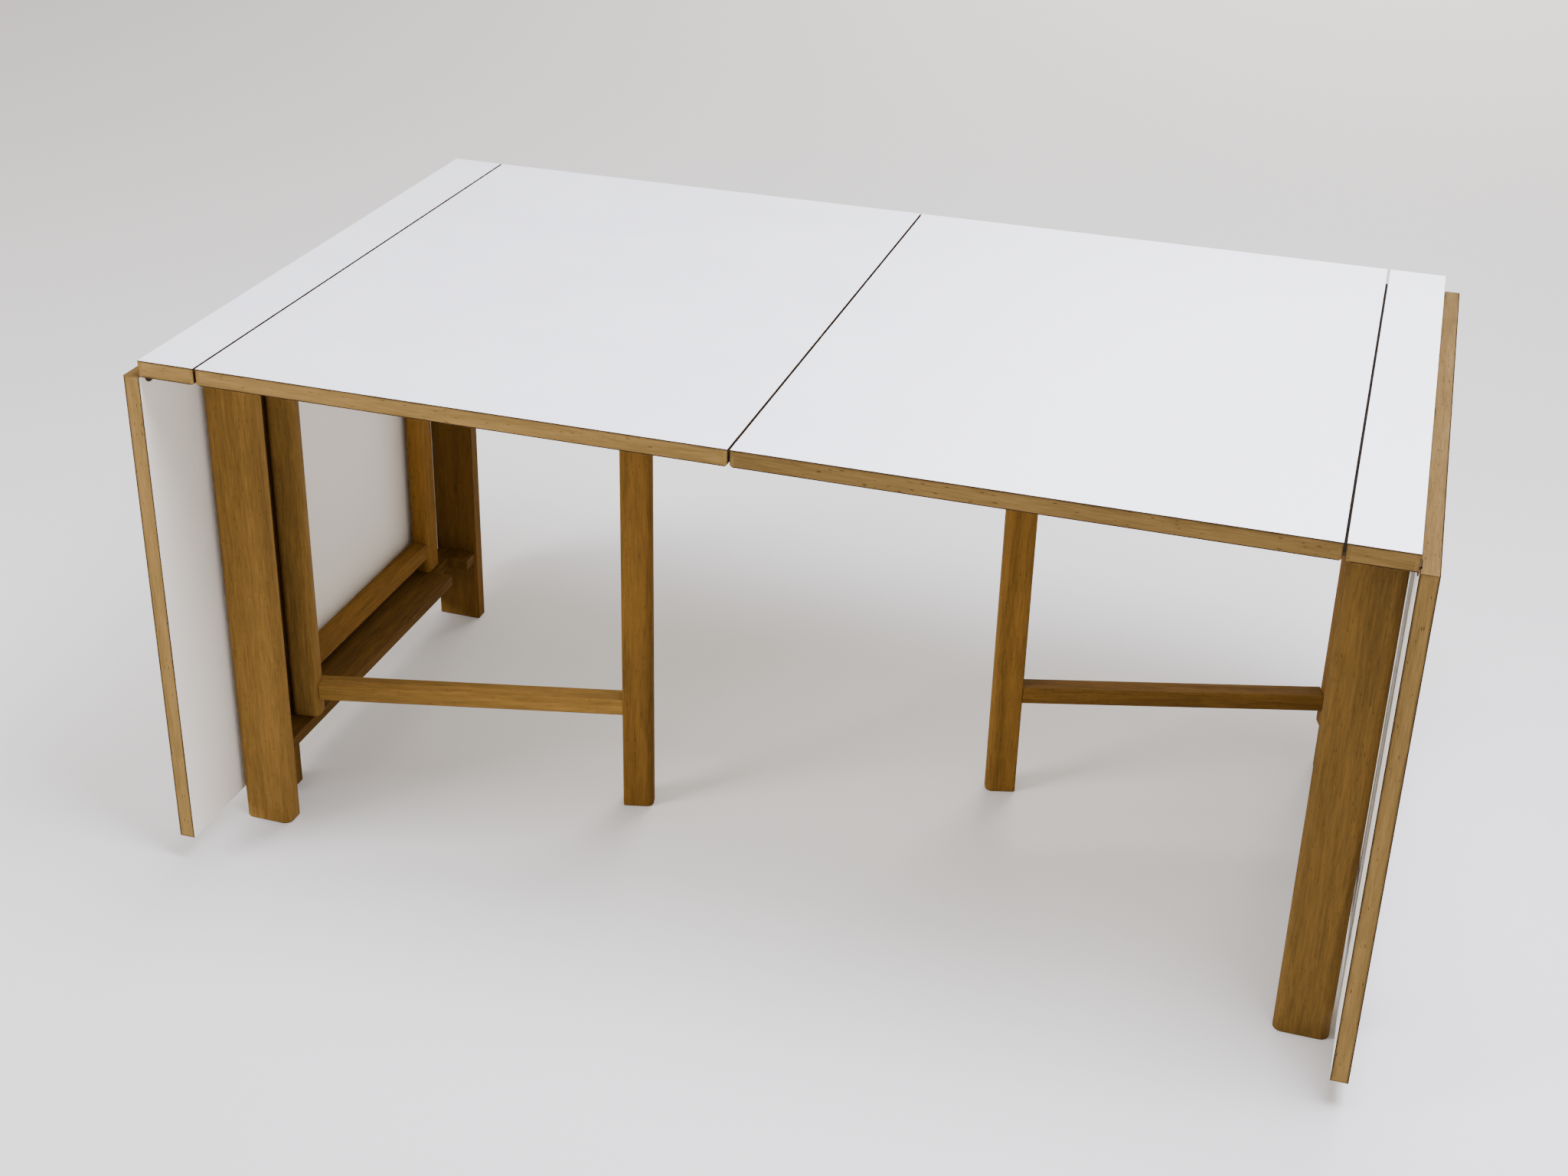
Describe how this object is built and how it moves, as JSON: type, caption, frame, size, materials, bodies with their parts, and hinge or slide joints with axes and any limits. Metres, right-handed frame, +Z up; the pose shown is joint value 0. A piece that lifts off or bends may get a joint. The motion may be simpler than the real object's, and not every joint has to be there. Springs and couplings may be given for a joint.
{
  "type": "folding dining table",
  "caption": "Long folding dining table: white leaves hinged to narrow end frames of stained wood, with gate legs that swing out to carry the leaves; the end leaves hang down.",
  "frame": {"origin": "on the floor under the middle of the table, halfway between the end frames and the long edges", "axes": "+X along the table to the right end, +Y from the front edge to the rear edge, +Z up"},
  "size_m": [1.5186, 0.88, 0.72],
  "materials": {
    "upright_wood": "satin honey-brown stained beech",
    "stretcher_wood": "satin honey-brown stained beech",
    "rail_wood": "satin honey-brown stained beech",
    "lipping_wood": "satin lacquered beech",
    "hanging_lipping_wood": "satin lacquered beech",
    "dowel_wood": "raw beech",
    "panel_core": "raw chipboard",
    "white_laminate": "fine satin high-pressure laminate",
    "dark_steel": "bronzed steel",
    "bright_steel": "plain steel"
  },
  "bodies": {
    "left_frame": {"left_front_board": "upright_wood", "left_rear_board": "upright_wood", "left_stretcher": "stretcher_wood", "left_frame_dowels": "dowel_wood", "left_strip_core": "panel_core", "left_strip_lipping": "lipping_wood", "left_strip_laminates": "white_laminate", "left_strip_hinge_plates": "dark_steel", "left_hinge_pins": "dark_steel", "left_strip_hinge_screws": "dark_steel", "left_gate_pivot_pins": "bright_steel", "left_gate_washers": "bright_steel"},
    "left_inner_leaf": {"left_inner_leaf_core": "panel_core", "left_inner_leaf_lipping": "lipping_wood", "left_inner_leaf_laminates": "white_laminate", "left_inner_leaf_hinge_plates": "dark_steel", "left_inner_leaf_hinge_screws": "dark_steel", "left_middle_hinge_barrels": "bright_steel"},
    "left_outer_leaf": {"left_outer_leaf_core": "panel_core", "left_outer_leaf_lipping": "hanging_lipping_wood", "left_outer_leaf_laminates": "white_laminate", "left_outer_leaf_hinge_plates": "dark_steel", "left_outer_leaf_hinge_screws": "dark_steel"},
    "left_inner_gate": {"left_inner_gate_post": "upright_wood", "left_inner_gate_leg": "upright_wood", "left_inner_gate_rails": "rail_wood"},
    "left_outer_gate": {"left_outer_gate_post": "upright_wood", "left_outer_gate_leg": "upright_wood", "left_outer_gate_rails": "stretcher_wood"},
    "right_frame": {"right_front_board": "upright_wood", "right_rear_board": "upright_wood", "right_stretcher": "stretcher_wood", "right_frame_dowels": "dowel_wood", "right_strip_core": "panel_core", "right_strip_lipping": "lipping_wood", "right_strip_laminates": "white_laminate", "right_strip_hinge_plates": "dark_steel", "right_hinge_pins": "dark_steel", "right_strip_hinge_screws": "dark_steel", "right_gate_pivot_pins": "bright_steel", "right_gate_washers": "bright_steel"},
    "right_inner_leaf": {"right_inner_leaf_core": "panel_core", "right_inner_leaf_lipping": "lipping_wood", "right_inner_leaf_laminates": "white_laminate", "right_inner_leaf_hinge_plates": "dark_steel", "right_inner_leaf_hinge_screws": "dark_steel", "right_middle_hinge_barrels": "bright_steel"},
    "right_outer_leaf": {"right_outer_leaf_core": "panel_core", "right_outer_leaf_lipping": "hanging_lipping_wood", "right_outer_leaf_laminates": "white_laminate", "right_outer_leaf_hinge_plates": "dark_steel", "right_outer_leaf_hinge_screws": "dark_steel"},
    "right_inner_gate": {"right_inner_gate_post": "upright_wood", "right_inner_gate_leg": "upright_wood", "right_inner_gate_rails": "rail_wood"},
    "right_outer_gate": {"right_outer_gate_post": "upright_wood", "right_outer_gate_leg": "upright_wood", "right_outer_gate_rails": "stretcher_wood"}
  },
  "joints": [
    {"name": "left_outer_leaf_lift", "type": "hinge", "parent": "left_frame", "child": "left_outer_leaf", "pos_m": [-0.738, 0, 0.6987], "axis": [0, 1, 0], "range_deg": [0, 90]},
    {"name": "right_outer_leaf_lift", "type": "hinge", "parent": "right_frame", "child": "right_outer_leaf", "pos_m": [0.738, 0, 0.6987], "axis": [0, -1, 0], "range_deg": [0, 90]},
    {"name": "inner_leaf_lift", "type": "hinge", "parent": "left_frame", "child": "left_inner_leaf", "pos_m": [-0.662, 0, 0.701], "axis": [0, -1, 0], "range_deg": [0, 4]},
    {"name": "middle_seam_fold", "type": "hinge", "parent": "left_inner_leaf", "child": "right_inner_leaf", "pos_m": [0, 0, 0.72], "axis": [0, 1, 0], "range_deg": [0, 8]},
    {"name": "right_strip_fold", "type": "hinge", "parent": "right_inner_leaf", "child": "right_frame", "pos_m": [0.662, 0, 0.701], "axis": [0, -1, 0], "range_deg": [0, 4]},
    {"name": "left_inner_gate_swing", "type": "hinge", "parent": "left_frame", "child": "left_inner_gate", "pos_m": [-0.6804, -0.222, 0.4], "axis": [0, 0, 1], "range_deg": [-13.9, 76.1]},
    {"name": "right_inner_gate_swing", "type": "hinge", "parent": "right_frame", "child": "right_inner_gate", "pos_m": [0.6804, 0.222, 0.4], "axis": [0, 0, 1], "range_deg": [-16.5, 73.5]},
    {"name": "left_outer_gate_swing", "type": "hinge", "parent": "left_frame", "child": "left_outer_gate", "pos_m": [-0.7176, 0.222, 0.4], "axis": [0, 0, -1], "range_deg": [0, 0.7]},
    {"name": "right_outer_gate_swing", "type": "hinge", "parent": "right_frame", "child": "right_outer_gate", "pos_m": [0.7176, -0.222, 0.4], "axis": [0, 0, -1], "range_deg": [0, 0.7]}
  ],
  "couplings": [
    {"joint": "middle_seam_fold", "follows": "inner_leaf_lift", "ratio": 2},
    {"joint": "right_strip_fold", "follows": "inner_leaf_lift", "ratio": 1}
  ]
}
